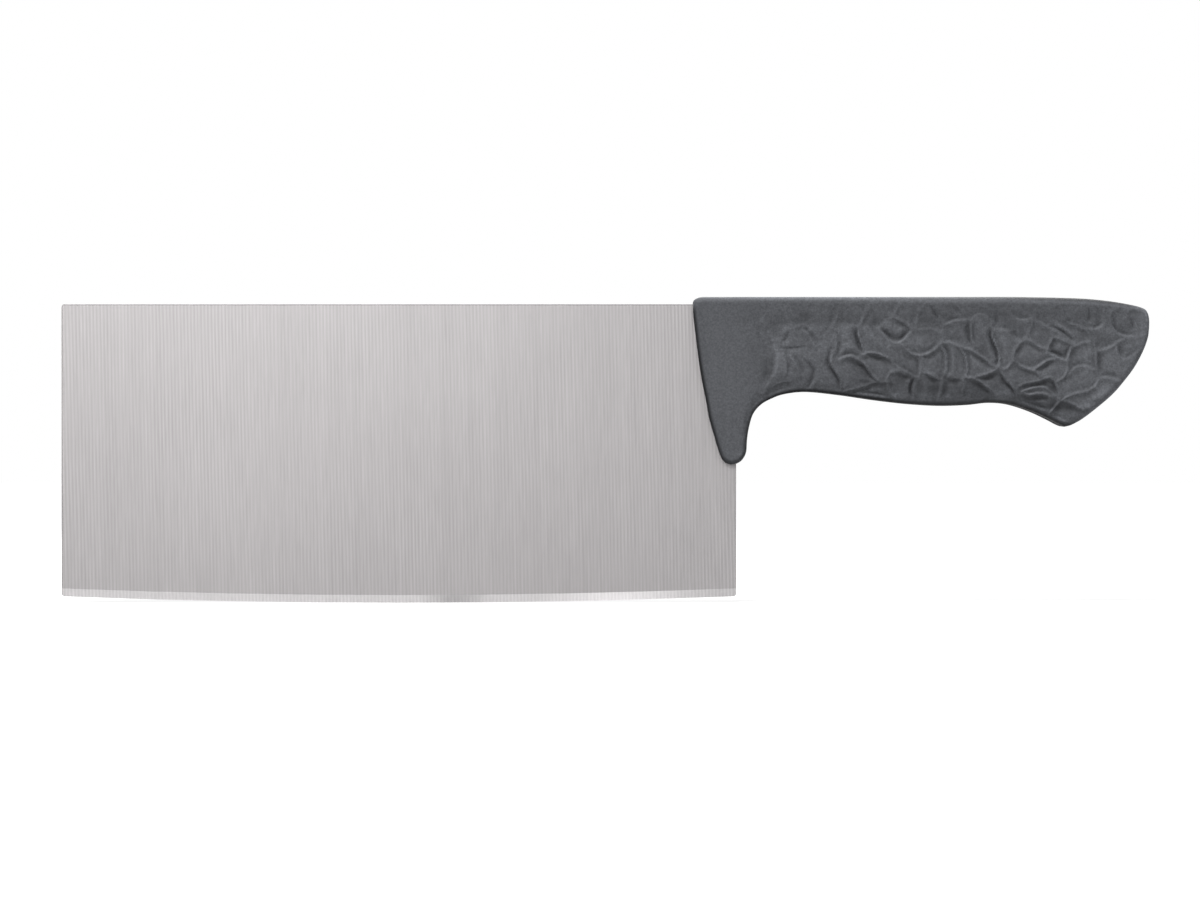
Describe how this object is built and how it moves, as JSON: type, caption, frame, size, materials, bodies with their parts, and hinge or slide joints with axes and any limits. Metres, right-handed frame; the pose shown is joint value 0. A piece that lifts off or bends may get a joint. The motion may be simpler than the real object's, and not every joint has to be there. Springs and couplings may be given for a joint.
{
  "type": "kitchen cleaver",
  "caption": "Tall rectangular kitchen cleaver: ground steel blade with a gently curved bevelled edge and a one-piece moulded soft grip with a finger guard and hooked butt.",
  "frame": {"origin": "under the middle of the overall length, level with the lowest point of the cutting edge, in the blade's middle plane", "axes": "+X along the handle towards the butt, +Y square to the blade's sides, +Z from the edge up to the spine"},
  "size_m": [0.3363, 0.0238, 0.0946],
  "materials": {
    "blade_steel": "brushed stainless steel, fine lines square to the edge, brighter ground bevel",
    "core_plastic": "hard moulded polypropylene, hidden inside the grip",
    "grip_rubber": "matte soft grey elastomer with a fine grain and a hammered relief of shallow scoops"
  },
  "bodies": {
    "root": {"blade": "blade_steel", "handle_core": "core_plastic", "grip": "grip_rubber"}
  },
  "joints": []
}
